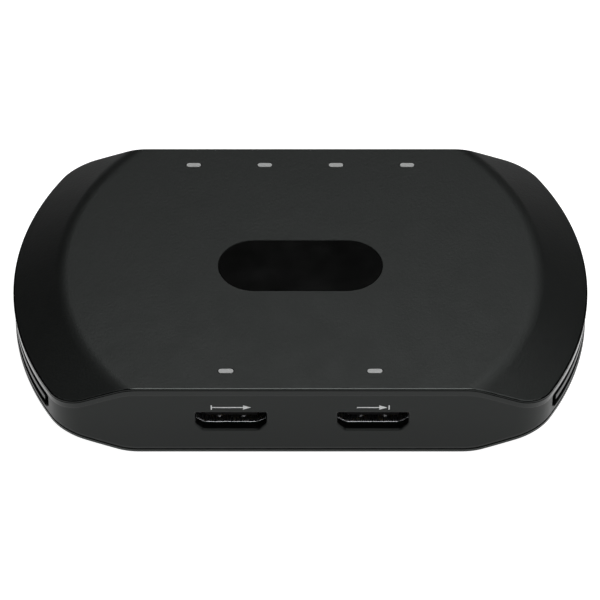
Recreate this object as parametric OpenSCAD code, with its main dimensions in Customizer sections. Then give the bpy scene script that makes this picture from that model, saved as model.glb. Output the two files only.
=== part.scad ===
// Video capture box: a flat three-piece housing with sloped ends, two video sockets in front,
// data, power and sound sockets behind, and one circuit board inside.
// X runs along the long side, -Y is the front, Z is up from the surface that the feet stand on.

/* [Housing] */
// Width over the two round ends of the side wall
body_w = 126.2; // [123:0.1:150]
// Depth over the flat front and rear walls
body_d = 76.35; // [75.6:0.05:90]
// Height of the housing without its feet
body_h = 19.3; // [18.8:0.1:24]
// How far past the middle the centre of each end arc lies
end_offset = 2.8; // [0:0.1:6]
// Radius of the upright corners
corner_r = 9; // [7:0.5:14]
// Thickness of the side wall
wall = 2; // [1.6:0.1:2.4]
// Thickness of the cover
cover_t = 1.5; // [1.3:0.1:1.7]
// Thickness of the base
base_t = 2.2; // [1.9:0.1:2.4]
// Height of the steep bevel along the top of the side wall
edge_bevel = 1.4; // [1:0.1:1.7]
// Open seam between the side wall and the rim of the cover
seam = 0.35; // [0.15:0.05:0.4]
// Open seam between the side wall and the rim of the base
base_seam = 0.12; // [0.08:0.01:0.25]
// How far the rim of the cover stands out past the side wall
cover_over = 0; // [0:0.05:0.3]
// Thickness of the rim of the cover
rim_t = 0.4; // [0.3:0.05:0.6]
// Thickness of the rim of the base
base_rim_t = 0.7; // [0.5:0.05:0.9]
// Play between parts that are stacked
fit = 0.05; // [0.02:0.01:0.1]
// Height of the wall's lower edge above the underside
wall_lift = 1.45; // [1.3:0.05:1.7]

/* [Sloped ends] */
// Width of each sloped end, from wall to crease
wing_w = 10.7; // [9:0.1:13]
// Slope of the upper ends
upper_slope = 25.3; // [15:0.1:28]
// Slope of the lower ends
lower_slope = 28.5; // [15:0.1:30]
// Radius of the soft crease
crease_r = 7; // [4:0.5:9]

/* [Vents] */
// Distance from the end of a side vent to the rounded corner
vent_margin = 0.9; // [0.6:0.1:6]
// Wall left between a side vent and the bevel above it
vent_above = 0.1; // [0.1:0.05:1.3]
// Wall left between a side vent and the wall's lower edge
vent_below = 0.45; // [0.3:0.05:1.6]
// Thickness of the louvre along the vent
louvre_h = 1.3; // [0.7:0.1:1.6]

/* [Inlay and lights] */
// Length of the gloss inlay
inlay_l = 36; // [20:1:44]
// Width of the gloss inlay
inlay_w = 16; // [8:1:20]
// Thickness of the gloss inlay
inlay_t = 0.6; // [0.4:0.1:0.9]
// Length of a light window
light_l = 3.2; // [2.4:0.1:4]
// Width of a light window
light_w = 1.25; // [1:0.05:1.6]
// Pitch of the rear row of lights and of the sockets under it
rear_pitch = 16; // [15:0.1:17]
// Distance of the rear lights from the face of the rear wall
rear_light_in = 5.4; // [4.6:0.05:8]
// Distance of each front light from the middle line
front_light_x = 15.9; // [13:0.1:18]
// Distance of the front lights from the face of the front wall
front_light_in = 5.55; // [4.6:0.05:8]

/* [Front sockets] */
// Spacing of the two video sockets
video_pitch = 30.4; // [26:0.2:36]
// How far right of the middle the pair of video sockets lies
video_shift = 0.35; // [-1:0.05:1]
// Height of the middle of the video sockets
video_z = 9.2; // [9:0.1:10]
// Width of a video socket shell
video_w = 15.1; // [14.5:0.1:15.5]
// Height of a video socket shell
video_h = 5.3; // [5.1:0.1:5.6]
// Sheet thickness of the socket shells
shell_t = 0.4; // [0.3:0.05:0.5]
// Depth that the socket shells lie behind the wall's face
recess = 1.7; // [1:0.1:1.9]
// Gap between a socket and its window in the wall
window_gap = 0.16; // [0.1:0.01:0.25]

/* [Rear sockets] */
// Diameter of the power plug's hole
power_d = 4.4; // [4:0.1:4.8]
// Diameter of the power pin
power_pin_d = 1.65; // [1.2:0.05:2]
// Diameter of the sound plug's hole
sound_d = 3.6; // [3.5:0.05:3.8]
// Width of the data socket shell
data_w = 8.95; // [8.8:0.05:9.2]
// Height of the data socket shell
data_h = 3.25; // [3.1:0.05:3.4]
// Diameter of the reset pinhole
pinhole_d = 1.6; // [1.2:0.1:2]
// Travel of the reset button
reset_travel = 0.4; // [0.2:0.05:0.5]

/* [Inside] */
// Thickness of the circuit board
board_t = 1.6; // [1.2:0.1:1.8]
// Distance of the board screws from the side edges of the board
board_screw_in = 4; // [3:0.5:5]
// Distance of the case screws and feet from the middle
case_screw_y = 24; // [20:0.5:25]
// Diameter of a foot
foot_d = 10; // [8:0.5:11]
// How far the feet stand proud
foot_proud = 0.8; // [0.5:0.1:1.5]
// Depth of the feet in the base
foot_sunk = 0.7; // [0.4:0.1:0.9]
// Length of the heat sink
sink_l = 40; // [30:1:44]
// Width of the heat sink
sink_w = 34; // [26:1:35]
// Number of heat sink fins
fin_count = 9; // [5:1:12]

/* [Hidden] */
$fn = 48;

// Outline of the housing
end_r = body_w / 2 + end_offset;
half_d = body_d / 2;
bevel_in = 0.1;
lower_in = 0.3;
lip_in = 1;
base_inset = 0.15;
plate_inset = lip_in + 2 * fit;
end_steps = 12;
corner_steps = 6;
ramp_steps = 7;
crease_steps = 5;

// Louvre in each side vent and the webs that carry it
louvre_front = 0.1;
louvre_clear = 0.3;
louvre_short = 1.9;
web_places = [-0.75, -0.25, 0.25, 0.75];
web_front = 1.1;
web_w = 1.4;

// Heights above the underside of the base
crease_at = end_r - wing_w;
ceiling_z = body_h - cover_t;
board_top = video_z - video_h / 2;
board_z = board_top - board_t;
boss_z = 5.6;
board_play = 0.5;
part_gap = 1.2;
past = 1;

// Drop of a sloped end at radius r from the centre of its end arc, with a soft crease
function crease_start(slope) = crease_at - crease_r * tan(slope / 2);
function crease_end(slope) = crease_start(slope) + crease_r * sin(slope);
function drop(r, slope) =
  r <= crease_start(slope) ? 0
  : r >= crease_end(slope) ? (r - crease_at) * tan(slope)
  : crease_r - sqrt(crease_r ^ 2 - (r - crease_start(slope)) ^ 2);

// Places of the repeated parts
rear_light_y = half_d - rear_light_in;
front_light_y = half_d - front_light_in;
video_xs = [video_shift - video_pitch / 2, video_shift + video_pitch / 2];
rear_xs = [-1.5 * rear_pitch, -0.5 * rear_pitch, 0.5 * rear_pitch, 1.5 * rear_pitch];
power_x = rear_xs[0];
data_x = rear_xs[1];
sound_in_x = rear_xs[2];
sound_out_x = rear_xs[3];
front_xs = [-front_light_x, front_light_x];

// Case screws and bosses
case_screw_d = 2.6;
case_head_d = 4.8;
case_head_h = 1.8;
case_screw_tip = 3;
case_seat_t = 2.7;
case_boss_d = 8;
boss_step = 0.5;
boss_gap = 1.5;
screw_play = 0.2;

// The feet cover the case screws and stand on the flat of the base, just inside its crease
foot_gap = 0.7;
foot_reach = crease_start(lower_slope) - foot_d / 2 - foot_gap;
case_screw_x = sqrt(foot_reach ^ 2 - case_screw_y ^ 2) - end_offset;
case_screw_at = [for (x = [-1, 1], y = [-1, 1]) [x * case_screw_x, y * case_screw_y]];

// Board screws and posts
board_screw_d = 2;
board_head_d = 4.2;
board_head_h = 1.4;
board_post_d = 5.4;
board_screw_deep = 2.6;

// Light guides and lamps on the board
guide_bar_h = 1.6;
emitter_size = [2, 1.2, 0.6];
emitter_gap = 0.2;

// Video socket
video_l = 11.4;
video_y = -half_d + recess;
video_shoulder = 0.6;
video_foot_w = 10.9;
video_corner = 0.5;
seam_w = 0.5;
dimple_pitch = 4.9;
dimple_back = 1.7;
dimple_r = 0.9;
dimple_h = 0.3;
insert_gap = 0.05;
tongue_w = 11.2;
tongue_h = 1.1;
tongue_back = 1.2;
insert_block = 3.6;
contact_pitch = 0.5;
contact_w = 0.28;
contact_t = 0.1;
contact_l = 5;

// Rear sockets
rear_y = half_d - wall - board_play / 2;
nose_recess = 0.6;
hole_floor = 2;
jack_side = 0.75;
jack_over = 0.2;
power_nose_wall = 0.9;
power_nose_d = power_d + 2 * power_nose_wall;
power_body = [power_nose_d + 2 * jack_side, 11.5, power_nose_d + jack_over];
sound_nose_wall = 0.7;
sound_nose_d = sound_d + 2 * sound_nose_wall;
sound_body = [sound_nose_d + 2 * jack_side, 11.8, sound_nose_d + jack_over];
data_l = 7.4;
data_tongue_back = 1;
data_corner = 1.5;
data_tongue_w = 6.7;
data_tongue_h = 0.7;
data_block = 2.4;
switch_body = [4.6, 3.6, 3];
button_d = 2;
button_l = 2.6;
button_out = 1.2;
button_play = 0.15;

// Legs of the light guides, clear of the sockets that lie under the lights
front_leg_y = video_y + video_l + part_gap + guide_bar_h / 2;
rear_leg_y = rear_y - max(power_body.y, sound_body.y, data_l) - part_gap - guide_bar_h / 2;

// Board, between the case bosses and the front and rear walls
board_corner = 2;
board_w = 2 * (case_screw_x - case_boss_d / 2 - boss_gap);
board_d = body_d - 2 * (wall + board_play);
board_screw_x = board_w / 2 - board_screw_in;
board_screw_y = rear_leg_y - guide_bar_h / 2 - part_gap - board_head_d / 2;
board_screw_at = [for (x = [-1, 1], y = [-1, 1]) [x * board_screw_x, y * board_screw_y]];

// Parts on the board
processor_size = [17, 17, 1.5];
pad_t = 0.6;
memory_size = [9, 13, 1.1];
memory_in = 7;
memory_x = board_w / 2 - memory_in;
video_chip_size = [8, 8, 0.9];
video_chip_x = 6.5;
video_chip_y = video_y + video_l + part_gap + video_chip_size.y / 2;
coil_size = [6, 6, 3];
coil_x = rear_pitch;
coil_y = sink_w / 2 + part_gap + coil_size.y / 2;
sink_base = 2;
fin_t = 1;
sink_headroom = 0.6;

// Radius of a plan point about the centre of the end arc on its own side
function end_radius(p) = norm([abs(p.x) + end_offset, p.y]);
function upper_z(p) = body_h - drop(end_radius(p), upper_slope);
function lower_z(p) = drop(end_radius(p), lower_slope);

// One quarter of the outline, from the middle of the right end to the middle of the rear, moved in by inset
corner_angle = asin((half_d - corner_r) / (end_r - corner_r));
corner_at = [(end_r - corner_r) * cos(corner_angle) - end_offset, half_d - corner_r];
ramp_x = crease_at * cos(asin(half_d / crease_at)) - end_offset - crease_r / 2;
function arc_point(centre, r, angle) = centre + r * [cos(angle), sin(angle)];
function quarter(inset) =
  concat(
    [for (i = [0 : end_steps - 1]) arc_point([-end_offset, 0], end_r - inset, corner_angle * i / end_steps)],
    [for (i = [0 : corner_steps])
      arc_point(corner_at, corner_r - inset, corner_angle + (90 - corner_angle) * i / corner_steps)],
    [for (i = [1 : ramp_steps]) [corner_at.x + (ramp_x - corner_at.x) * i / ramp_steps, half_d - inset]]
  );
function reversed(points) = [for (i = [len(points) - 1 : -1 : 0]) points[i]];
function outline(inset) =
  let (q = quarter(inset), n = len(q))
  concat(
    q,
    reversed([for (p = q) [-p.x, p.y]]),
    [for (i = [1 : n - 1]) [-q[i].x, -q[i].y]],
    reversed([for (i = [1 : n - 1]) [q[i].x, -q[i].y]])
  );

// Points of a polygon with every corner rounded to radius r
function unit(v) = v / norm(v);
function rounded(points, r, steps = 4) =
  let (n = len(points))
  [for (i = [0 : n - 1])
    let (
      p = points[i],
      u = unit(points[(i + n - 1) % n] - p),
      v = unit(points[(i + 1) % n] - p),
      half = acos(u * v) / 2,
      c = p + unit(u + v) * r / sin(half),
      a0 = atan2(-(c - p - u * r / tan(half)).y, -(c - p - u * r / tan(half)).x),
      turn = 180 - 2 * half,
      left = u.x * v.y - u.y * v.x < 0 ? 1 : -1
    )
    for (k = [0 : steps])
      let (t = a0 + left * turn * k / steps) c + r * [cos(t), sin(t)]];

// Everything is drawn from the underside of the base and lifted by the height of the feet
module lift() {
  translate([0, 0, foot_proud]) children();
}

// The space outside the housing over, or under, the two sloped ends
module end_cuts(slope) {
  last_r = end_r + past;
  profile = concat(
    [for (i = [0 : crease_steps])
      let (t = slope * i / crease_steps)
      [crease_start(slope) + crease_r * sin(t), -crease_r * (1 - cos(t))]],
    [[last_r, -drop(last_r, slope)], [last_r, past], [crease_start(slope), past]]
  );
  for (side = [0, 1])
    mirror([side, 0, 0])
      translate([end_offset, 0, 0])
        rotate([0, 0, 90])
          rotate_extrude(angle = 180, $fn = 180) polygon(profile);
}

// What lies more than t below the sloped upper face, down to a depth, inside a flat shape
module under(t, slope, deep) {
  difference() {
    translate([0, 0, -deep - past]) linear_extrude(deep + past - t) children();
    translate([0, 0, -t]) end_cuts(slope);
  }
}

// A flat shape that is larger than the housing
module everywhere() {
  square([body_w + 4 * past, body_d + 4 * past], center = true);
}

// A plate of the housing's outline with a thin rim, whose ends slope down from an upper face at z = 0
module sloped_plate(inset, slope, t, rim) {
  deep = drop(end_r + past, slope) + t;
  difference() {
    translate([0, 0, -deep]) linear_extrude(deep) polygon(outline(inset));
    end_cuts(slope);
    under(t, slope, deep) everywhere();
    under(rim, slope, deep)
      difference() {
        everywhere();
        polygon(outline(plate_inset));
      }
  }
}

// A closed band lofted through rings of points, each ring joined to the next and the last to the first
module loft(rings) {
  n = len(rings[0]);
  m = len(rings);
  polyhedron(
    points = [for (ring = rings) each ring],
    faces = [for (j = [0 : m - 1], i = [0 : n - 1])
      let (
        a = j * n + i,
        b = j * n + (i + 1) % n,
        c = (j + 1) % m * n + (i + 1) % n,
        d = (j + 1) % m * n + i
      )
      each [[a, d, b], [b, d, c]]]
  );
}

module pill(l, w) {
  square([l - w, w], center = true);
  for (x = [-1, 1]) translate([x * (l - w) / 2, 0]) circle(d = w);
}

// A flat shape stood upright, facing the front, from y0 to y1
module along_y(y0, y1) {
  translate([0, y1, 0]) rotate([90, 0, 0]) linear_extrude(y1 - y0) children();
}

// Outline of the video socket, grown by a margin
function video_outline(grow) =
  let (
    w = video_w / 2 + grow,
    top = video_h / 2 + grow,
    step = -video_shoulder,
    foot = video_foot_w / 2 + grow
  )
  rounded([[-w, top], [-w, step], [-foot, -top], [foot, -top], [w, step], [w, top]], video_corner + grow);

function data_outline(grow) =
  let (w = data_w / 2 + grow, h = data_h / 2 + grow)
  rounded([[-w, h], [-w, -h], [w, -h], [w, h]], data_corner + grow, 6);

module windows() {
  front = -half_d - past;
  rear = half_d + past;
  for (x = video_xs)
    translate([x, 0, video_z]) along_y(front, -half_d + wall + past) polygon(video_outline(window_gap));
  translate([data_x, 0, board_top + data_h / 2])
    along_y(half_d - wall - past, rear) polygon(data_outline(window_gap));
  for (x = [sound_in_x, sound_out_x])
    translate([x, 0, board_top + sound_body.z / 2])
      along_y(half_d - wall - past, rear) circle(d = sound_nose_d + 2 * window_gap);
  translate([power_x, 0, board_top + power_body.z / 2])
    along_y(half_d - wall - past, rear) circle(d = power_nose_d + 2 * window_gap);
  translate([0, 0, board_top + switch_body.z / 2])
    along_y(half_d - wall - past, rear) circle(d = pinhole_d);
}

// A band along the right end, from inset i0 to i1 and z0 to z1, over plus and minus an angle
function end_points(inset, angle) =
  [for (i = [-end_steps : end_steps])
    arc_point([-end_offset, 0], end_r - inset, angle * i / end_steps)];
module end_band(i0, i1, z0, z1, angle) {
  translate([0, 0, z0])
    linear_extrude(z1 - z0)
      polygon(concat(end_points(i0, angle), reversed(end_points(i1, angle))));
}

// One side vent: a long slot with a louvre that short webs carry behind the face of the wall
module vent() {
  angle = corner_angle - vent_margin / end_r * 180 / PI;
  end_face = [body_w / 2, 0];
  top = upper_z(end_face) - rim_t - seam - edge_bevel - vent_above;
  bottom = lower_z(end_face) + wall_lift + vent_below;
  middle = (top + bottom) / 2;
  louvre_back = wall - louvre_clear;
  louvre_angle = angle - louvre_short / end_r * 180 / PI;
  difference() {
    end_band(-past, wall + past, bottom, top, angle);
    end_band(louvre_front, louvre_back, middle - louvre_h / 2, middle + louvre_h / 2, louvre_angle);
    for (k = web_places)
      translate([-end_offset, 0, bottom - past])
        rotate([0, 0, k * angle])
          translate([end_r - louvre_back, -web_w / 2, 0])
            cube([louvre_back - web_front, web_w, top - bottom + 2 * past]);
  }
}

// One ring of the side wall: an outline moved in by inset, at a height over the base or under the cover
function low_ring(inset, rise) = [for (p = outline(inset)) [each p, lower_z(p) + rise]];
function high_ring(inset, fall) = [for (p = outline(inset)) [each p, upper_z(p) - fall]];

module mid_frame() {
  lip_top = rim_t + seam;
  cover_seat = cover_t + fit;
  base_seat = base_t + fit;
  lip_foot = base_rim_t + base_seam;
  color("#2f3130")
    lift()
      difference() {
        loft([
          low_ring(0, wall_lift),
          high_ring(0, lip_top + edge_bevel),
          high_ring(bevel_in, lip_top),
          high_ring(lip_in, lip_top),
          high_ring(lip_in, cover_seat),
          high_ring(wall, cover_seat),
          low_ring(wall, base_seat),
          low_ring(lip_in, base_seat),
          low_ring(lip_in, lip_foot),
          low_ring(lower_in, lip_foot)
        ]);
        windows();
        for (side = [0, 1]) mirror([side, 0, 0]) vent();
      }
}

module top_cover() {
  color("#363837")
    lift()
      difference() {
        union() {
          translate([0, 0, body_h]) sloped_plate(-cover_over, upper_slope, cover_t, rim_t);
          for (p = case_screw_at)
            translate([each p, boss_z])
              cylinder(d = case_boss_d - 2 * boss_step, h = ceiling_z - boss_z + cover_t / 2);
        }
        for (p = case_screw_at)
          translate([each p, boss_z - past])
            cylinder(d = case_screw_d + screw_play, h = ceiling_z - case_screw_tip - boss_z + past);
        translate([0, 0, body_h - inlay_t]) linear_extrude(inlay_t + past) pill(inlay_l, inlay_w);
        translate([0, 0, ceiling_z - past])
          linear_extrude(cover_t + 2 * past) light_windows(light_l + 2 * fit, light_w + 2 * fit);
      }
}

module light_windows(l, w) {
  for (x = rear_xs) translate([x, rear_light_y]) pill(l, w);
  for (x = front_xs) translate([x, -front_light_y]) pill(l, w);
}

// Upright posts on the base, from inside the plate up to a height
module posts(places, d, top) {
  for (p = places) translate([each p, base_t / 2]) cylinder(d = d, h = top - base_t / 2);
}

module base_plate() {
  color("#323433")
    lift()
      difference() {
        union() {
          mirror([0, 0, 1]) sloped_plate(base_inset, lower_slope, base_t, base_rim_t);
          posts(case_screw_at, case_boss_d, boss_z);
          posts(board_screw_at, board_post_d, board_z);
        }
        for (p = case_screw_at)
          translate([each p, -past]) {
            cylinder(d = foot_d + 2 * fit, h = foot_sunk + past);
            cylinder(d = case_head_d + 2 * screw_play, h = boss_z - case_seat_t + past);
            cylinder(d = case_screw_d + 2 * screw_play, h = boss_z + 2 * past);
          }
        for (p = board_screw_at)
          translate([each p, board_z - board_screw_deep - screw_play])
            cylinder(d = board_screw_d + screw_play, h = board_screw_deep + screw_play + past);
      }
}

module gloss_inlay() {
  color("#0d0d0d")
    lift()
      translate([0, 0, body_h - inlay_t])
        linear_extrude(inlay_t - fit) pill(inlay_l - 2 * fit, inlay_w - 2 * fit);
}

// A window with a bar under the cover that leads light from a leg on the board
module light_guide(window_y, leg_y) {
  foot = board_top + emitter_size.z + emitter_gap;
  bar = abs(window_y - leg_y) + guide_bar_h;
  bar_z = ceiling_z - guide_bar_h;
  translate([0, window_y, bar_z]) linear_extrude(cover_t + guide_bar_h) pill(light_l, light_w);
  translate([-light_l / 2, (window_y + leg_y - bar) / 2, bar_z]) cube([light_l, bar, guide_bar_h]);
  translate([-light_l / 2, leg_y - guide_bar_h / 2, foot]) cube([light_l, guide_bar_h, ceiling_z - foot]);
}

module front_light_guides() {
  color("#a9abaa") lift() for (x = front_xs) translate([x, 0, 0]) light_guide(-front_light_y, front_leg_y);
}

module rear_light_guides() {
  color("#a9abaa") lift() for (x = rear_xs) translate([x, 0, 0]) light_guide(rear_light_y, rear_leg_y);
}

module light_emitters() {
  spots = concat([for (x = front_xs) [x, front_leg_y]], [for (x = rear_xs) [x, rear_leg_y]]);
  color("#e9e6d2")
    lift()
      for (p = spots)
        chip(p, emitter_size);
}

module main_board() {
  w = board_w / 2;
  d = board_d / 2;
  color("#1f5c3a")
    lift()
      difference() {
        translate([0, 0, board_z])
          linear_extrude(board_t)
            polygon(rounded([[-w, d], [-w, -d], [w, -d], [w, d]], board_corner));
        for (p = board_screw_at)
          translate([each p, board_z - past])
            cylinder(d = board_screw_d + 2 * screw_play, h = board_t + 2 * past);
      }
}

// A chip centred on a place on the board
module chip(p, size) {
  translate([p.x - size.x / 2, p.y - size.y / 2, board_top]) cube(size);
}

module processor() {
  color("#26282a") lift() chip([0, 0], processor_size);
}

module memory_chips() {
  color("#1d1e20") lift() for (x = [-memory_x, memory_x]) chip([x, 0], memory_size);
}

module video_chips() {
  color("#222326") lift() for (x = [-video_chip_x, video_chip_x]) chip([x, video_chip_y], video_chip_size);
}

module power_coils() {
  color("#4a4c4f") lift() for (x = [-coil_x, coil_x]) chip([x, coil_y], coil_size);
}

module thermal_pad() {
  color("#8fa3b5")
    lift() translate([0, 0, processor_size.z]) chip([0, 0], [processor_size.x, processor_size.y, pad_t]);
}

module heat_sink() {
  z0 = board_top + processor_size.z + pad_t;
  top = ceiling_z - sink_headroom;
  pitch = (sink_w - fin_t) / (fin_count - 1);
  color("#9a9da0")
    lift()
      translate([-sink_l / 2, -sink_w / 2, z0]) {
        cube([sink_l, sink_w, sink_base]);
        for (i = [0 : fin_count - 1])
          translate([0, i * pitch, sink_base / 2]) cube([sink_l, fin_t, top - z0 - sink_base / 2]);
      }
}

// Folded sheet shell of a video socket, open at the front, with its seam and two spring dimples underneath
module video_shell(x) {
  floor_z = shell_t - video_h / 2;
  lift()
    translate([x, 0, video_z]) {
      difference() {
        along_y(video_y, video_y + video_l)
          difference() {
            polygon(video_outline(0));
            polygon(video_outline(-shell_t));
          }
        translate([-seam_w / 2, video_y - past, -video_h / 2 - past])
          cube([seam_w, video_l + 2 * past, shell_t + past + fit]);
      }
      for (side = [-1, 1])
        translate([side * dimple_pitch / 2, video_y + dimple_back, floor_z]) dimple();
    }
}

// A shallow round cap pressed up from the sheet
module dimple() {
  intersection() {
    translate([0, 0, dimple_h - dimple_r]) sphere(r = dimple_r);
    translate([-dimple_r, -dimple_r, -shell_t / 2]) cube([2 * dimple_r, 2 * dimple_r, dimple_r]);
  }
}

// Moulded block at the back of a video socket, with the tongue that carries the contacts
module video_insert(x) {
  back = video_y + video_l;
  lift()
    translate([x, 0, video_z]) {
      along_y(back - insert_block, back) polygon(video_outline(-shell_t - insert_gap));
      translate([-tongue_w / 2, video_y + tongue_back, -tongue_h / 2])
        cube([tongue_w, video_l - tongue_back - insert_block / 2, tongue_h]);
    }
}

// Nineteen strips on the two faces of the tongue
module video_contacts(x) {
  rows = [[10, tongue_h / 2], [9, -tongue_h / 2 - contact_t]];
  lift()
    translate([x, video_y + video_l - insert_block - contact_l, video_z])
      for (row = rows, i = [0 : row[0] - 1])
        translate([(i - (row[0] - 1) / 2) * 2 * contact_pitch - contact_w / 2, 0, row[1]])
          cube([contact_w, contact_l, contact_t]);
}

module video_out_shell() {
  color("#b9bbbd") video_shell(video_xs[0]);
}

module video_out_insert() {
  color("#141414") video_insert(video_xs[0]);
}

module video_out_contacts() {
  color("#c9a24a") video_contacts(video_xs[0]);
}

module video_in_shell() {
  color("#b9bbbd") video_shell(video_xs[1]);
}

module video_in_insert() {
  color("#141414") video_insert(video_xs[1]);
}

module video_in_contacts() {
  color("#c9a24a") video_contacts(video_xs[1]);
}

module data_shell() {
  back = half_d - nose_recess;
  color("#b9bbbd")
    lift()
      translate([data_x, 0, board_top + data_h / 2])
        along_y(back - data_l, back)
          difference() {
            polygon(data_outline(0));
            polygon(data_outline(-shell_t));
          }
}

module data_insert() {
  front = half_d - nose_recess - data_l;
  color("#141414")
    lift()
      translate([data_x, 0, board_top + data_h / 2]) {
        along_y(front, front + data_block) polygon(data_outline(-shell_t - insert_gap));
        translate([-data_tongue_w / 2, front + data_block / 2, -data_tongue_h / 2])
          cube([data_tongue_w, data_l - data_block / 2 - data_tongue_back, data_tongue_h]);
      }
}

// A moulded jack: a body on the board, a round nose in the wall and a blind hole for the plug
module jack(x, size, nose_d, hole_d) {
  nose_y = half_d - nose_recess;
  lift()
    translate([x, 0, board_top])
      difference() {
        union() {
          translate([-size.x / 2, rear_y - size.y, 0]) cube(size);
          translate([0, 0, size.z / 2]) along_y(rear_y - size.y / 2, nose_y) circle(d = nose_d);
        }
        translate([0, 0, size.z / 2]) along_y(rear_y - size.y + hole_floor, nose_y + past) circle(d = hole_d);
      }
}

module sound_in_jack() {
  color("#1a1a1b") jack(sound_in_x, sound_body, sound_nose_d, sound_d);
}

module sound_out_jack() {
  color("#1a1a1b") jack(sound_out_x, sound_body, sound_nose_d, sound_d);
}

module power_jack() {
  color("#1a1a1b") jack(power_x, power_body, power_nose_d, power_d);
}

module power_pin() {
  start = rear_y - power_body.y + hole_floor;
  color("#c4c6c8")
    lift()
      translate([power_x, 0, board_top + power_body.z / 2])
        along_y(start, half_d - 2 * nose_recess) circle(d = power_pin_d);
}

module reset_switch() {
  y0 = rear_y - button_out - switch_body.y;
  color("#2a2b2d")
    lift()
      translate([0, 0, board_top])
        difference() {
          translate([-switch_body.x / 2, y0, 0]) cube(switch_body);
          translate([0, 0, switch_body.z / 2])
            along_y(rear_y - button_l - reset_travel - button_play, rear_y)
              circle(d = button_d + 2 * button_play);
        }
}

module reset_button() {
  color("#8c1f1f")
    lift()
      translate([0, 0, board_top + switch_body.z / 2])
        along_y(rear_y - button_l, rear_y) circle(d = button_d);
}

module board_screws() {
  color("#8a8c8e")
    lift()
      for (p = board_screw_at) {
        translate([each p, board_top]) cylinder(d = board_head_d, h = board_head_h);
        translate([each p, board_z - board_screw_deep])
          cylinder(d = board_screw_d, h = board_screw_deep + board_t + board_head_h / 2);
      }
}

module case_screws() {
  head_z = boss_z - case_seat_t - case_head_h;
  tip = ceiling_z - case_screw_tip - screw_play;
  color("#8a8c8e")
    lift()
      for (p = case_screw_at)
        translate([each p, head_z]) {
          cylinder(d = case_head_d, h = case_head_h);
          cylinder(d = case_screw_d, h = tip - head_z);
        }
}

module rubber_feet() {
  color("#1b1b1b")
    for (p = case_screw_at) translate(p) cylinder(d = foot_d, h = foot_proud + foot_sunk);
}

top_cover();
mid_frame();
base_plate();
gloss_inlay();
front_light_guides();
rear_light_guides();
light_emitters();
main_board();
processor();
memory_chips();
video_chips();
power_coils();
thermal_pad();
heat_sink();
video_out_shell();
video_out_insert();
video_out_contacts();
video_in_shell();
video_in_insert();
video_in_contacts();
data_shell();
data_insert();
sound_in_jack();
sound_out_jack();
power_jack();
power_pin();
reset_switch();
reset_button();
board_screws();
case_screws();
rubber_feet();
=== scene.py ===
"""Looks of a flat video capture box: housing shells, vents, sockets, finishes and a white studio.

Lengths are millimetres from the underside of the base unless a name says otherwise. Meshes are
turned into metres, and lifted by the height of the feet, when they are put into Blender.
"""

import logging
import math
from dataclasses import dataclass
from enum import Enum
from typing import Any, Iterable, Optional, Sequence

import bmesh
import bpy
import numpy as np
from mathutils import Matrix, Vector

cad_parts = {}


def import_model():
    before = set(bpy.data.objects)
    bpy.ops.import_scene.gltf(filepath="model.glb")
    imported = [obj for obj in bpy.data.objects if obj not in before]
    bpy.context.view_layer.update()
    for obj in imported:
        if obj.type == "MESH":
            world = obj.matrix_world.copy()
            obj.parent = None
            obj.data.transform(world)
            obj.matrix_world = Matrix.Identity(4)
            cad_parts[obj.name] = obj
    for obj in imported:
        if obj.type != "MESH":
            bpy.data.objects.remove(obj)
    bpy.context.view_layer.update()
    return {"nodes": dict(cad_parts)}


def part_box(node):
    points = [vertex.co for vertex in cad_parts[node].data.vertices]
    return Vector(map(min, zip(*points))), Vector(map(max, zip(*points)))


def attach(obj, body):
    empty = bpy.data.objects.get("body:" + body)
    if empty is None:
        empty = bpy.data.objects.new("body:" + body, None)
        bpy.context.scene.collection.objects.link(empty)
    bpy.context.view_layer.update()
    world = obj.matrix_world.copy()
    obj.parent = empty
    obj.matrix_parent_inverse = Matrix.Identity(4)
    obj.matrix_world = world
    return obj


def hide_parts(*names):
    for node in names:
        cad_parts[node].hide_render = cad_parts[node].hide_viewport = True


LOG = logging.getLogger("capture_box")
MM = 0.001
HOUSING_BODY = "housing"
SHARP_ANGLE = math.radians(32)
MERGE_DISTANCE = 1e-7
PAST = 1.0  # how far a cutter runs past what it cuts
PROUD = 0.4  # how far a flared cutter stands out of a face
GUARD = 0.04  # greatest distance of a guard row from the curve beside it
GUARD_SHARE = 0.3  # greatest share of a flat that lies between a guard row and the curve
WEAR = "wear"  # attribute that says how worn a point is

Array = np.ndarray
Piece = bpy.types.Object
Socket = bpy.types.NodeSocket
Faces = list[list[int]]
Nodes = dict[str, Piece]
Place = tuple[float, float]
Colour = tuple[float, float, float]
GREY_GREEN: Colour = (0.93, 1.0, 0.966)


class Side(Enum):
    """Which way the outer face of a housing plate looks."""

    UP = 1
    DOWN = -1


class Port(Enum):
    """Which way the signal runs in a front socket."""

    OUT = "out"
    IN = "in"


class Work(Enum):
    """What solids do to a piece."""

    CUT = "DIFFERENCE"
    ADD = "UNION"


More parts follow.
